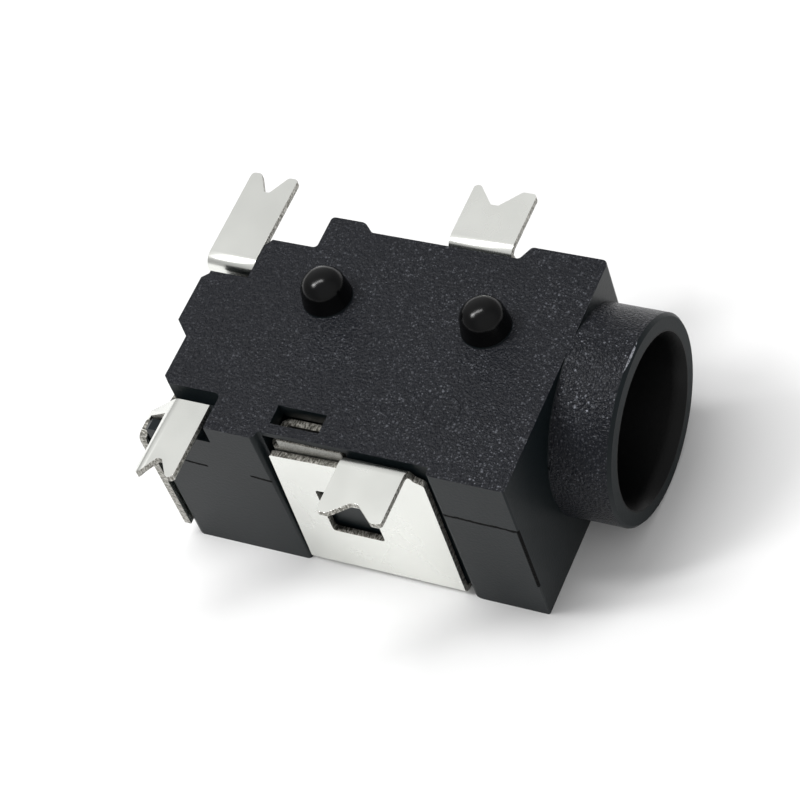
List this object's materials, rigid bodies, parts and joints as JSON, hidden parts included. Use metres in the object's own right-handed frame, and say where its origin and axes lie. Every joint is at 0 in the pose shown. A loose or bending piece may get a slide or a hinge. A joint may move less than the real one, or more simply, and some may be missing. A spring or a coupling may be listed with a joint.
{
  "type": "dc power jack",
  "caption": "Surface-mount DC power jack with a round nose, locating pegs, a plated bracket and notched solder feet.",
  "frame": {"origin": "bottom centre of the bounding box, on the roof face that the part lies on", "axes": "+X towards the mouth along the bore, +Z out of the board face with the pegs, Y across the body"},
  "size_m": [0.0112, 0.0094, 0.0058],
  "materials": {
    "black_moulding": "fine sparkly grain on the board face and the nose, smoother on the side walls",
    "tin_plate": "bright tin plate with darker, rough sheared edges",
    "nickel_plate": "bright nickel plate"
  },
  "bodies": {
    "root": {"housing": "black_moulding", "bracket": "tin_plate", "pin_terminal": "tin_plate", "switch_terminal": "tin_plate", "sleeve_spring": "nickel_plate", "centre_pin": "nickel_plate"}
  },
  "joints": []
}
